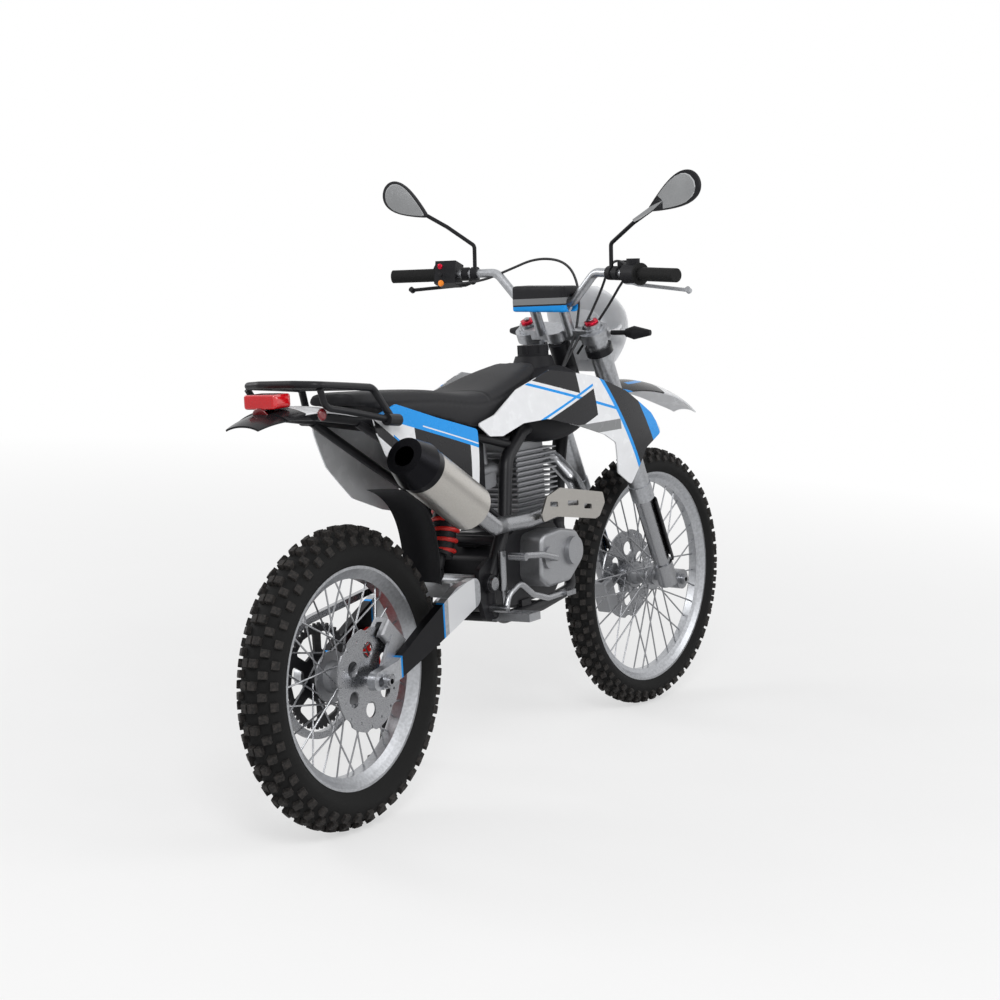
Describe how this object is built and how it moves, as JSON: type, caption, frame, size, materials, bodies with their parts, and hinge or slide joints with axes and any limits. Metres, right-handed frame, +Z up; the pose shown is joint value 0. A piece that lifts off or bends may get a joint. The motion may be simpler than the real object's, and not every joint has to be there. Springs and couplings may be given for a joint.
{
  "type": "motocross bike",
  "caption": "Off-road motorcycle with knobbly tyres, long flat saddle, luggage carrier, mirrors and lamps, leaning on its side stand.",
  "frame": {"origin": "middle of the parked bike's footprint box on the floor", "axes": "+X forward along the bike, +Y to the rider's left, +Z up from the floor"},
  "size_m": [2.0137, 0.9402, 1.4357],
  "materials": {
    "black_metal": "satin",
    "silver_metal": "satin",
    "steel": "satin",
    "grey_metal": "cast",
    "black_plastic": "matte",
    "brushed": "brushed",
    "seat_cover": "grained",
    "white_plastic": "gloss",
    "red_lens": "gloss",
    "red_plastic": "satin",
    "tyre": "matte",
    "pad_foam": "matte",
    "grip_rubber": "matte"
  },
  "bodies": {
    "frame": {"main_frame": "black_metal", "swingarm": "silver_metal", "rear_axle": "steel", "pivot_bolt": "steel", "rear_shock": "black_metal", "crankcase": "black_metal", "engine_covers": "grey_metal", "cylinder": "black_metal", "carburettor": "grey_metal", "air_box": "black_plastic", "exhaust_header": "steel", "muffler": "brushed", "heat_shield": "brushed", "fuel_tank": "black_plastic", "fuel_cap": "black_plastic", "seat": "seat_cover", "shrouds": "white_plastic", "side_panels": "white_plastic", "rear_fender": "white_plastic", "inner_mudguard": "black_plastic", "luggage_rack": "black_metal", "tail_lamp": "red_lens", "footpegs": "grey_metal", "foot_levers": "steel", "drive_chain": "steel", "chain_guide": "red_plastic", "rear_caliper": "grey_metal", "stand_mount": "black_metal"},
    "rear_wheel": {"rear_tyre": "tyre", "rear_rim": "silver_metal", "rear_spokes": "steel", "rear_hub": "grey_metal", "rear_disc": "steel", "rear_sprocket": "black_metal"},
    "front_wheel": {"front_tyre": "tyre", "front_rim": "silver_metal", "front_spokes": "steel", "front_hub": "grey_metal", "front_disc": "steel"},
    "steering": {"triple_clamps": "silver_metal", "fork_outer_tubes": "silver_metal", "fork_inner_tubes": "steel", "front_axle": "steel", "handlebar": "silver_metal", "bar_pad": "pad_foam", "grips": "grip_rubber", "hand_controls": "black_plastic", "mirrors": "black_plastic", "headlight": "white_plastic", "front_fender": "white_plastic", "fork_guards": "black_plastic", "front_caliper": "grey_metal", "front_indicators": "black_plastic"},
    "side_stand": {"side_stand": "black_metal"}
  },
  "joints": [
    {"name": "steering", "type": "hinge", "parent": "frame", "child": "steering", "pos_m": [0.31675, -0.05504, 0.91654], "axis": [-0.4384, 0.1251, 0.89], "range_deg": [-37.3, 46.7]},
    {"name": "front_wheel_spin", "type": "hinge", "parent": "steering", "child": "front_wheel", "pos_m": [0.66281, -0.14038, 0.34288], "axis": [0.0736, 0.9919, -0.1031], "continuous": true},
    {"name": "rear_wheel_spin", "type": "hinge", "parent": "frame", "child": "rear_wheel", "pos_m": [-0.67701, -0.13785, 0.32733], "axis": [0, 0.9903, -0.1392], "continuous": true},
    {"name": "side_stand", "type": "hinge", "parent": "frame", "child": "side_stand", "pos_m": [-0.27301, 0.0058, 0.3435], "axis": [0.0569, 0.9878, 0.1452], "range_deg": [0, 100.3]}
  ]
}
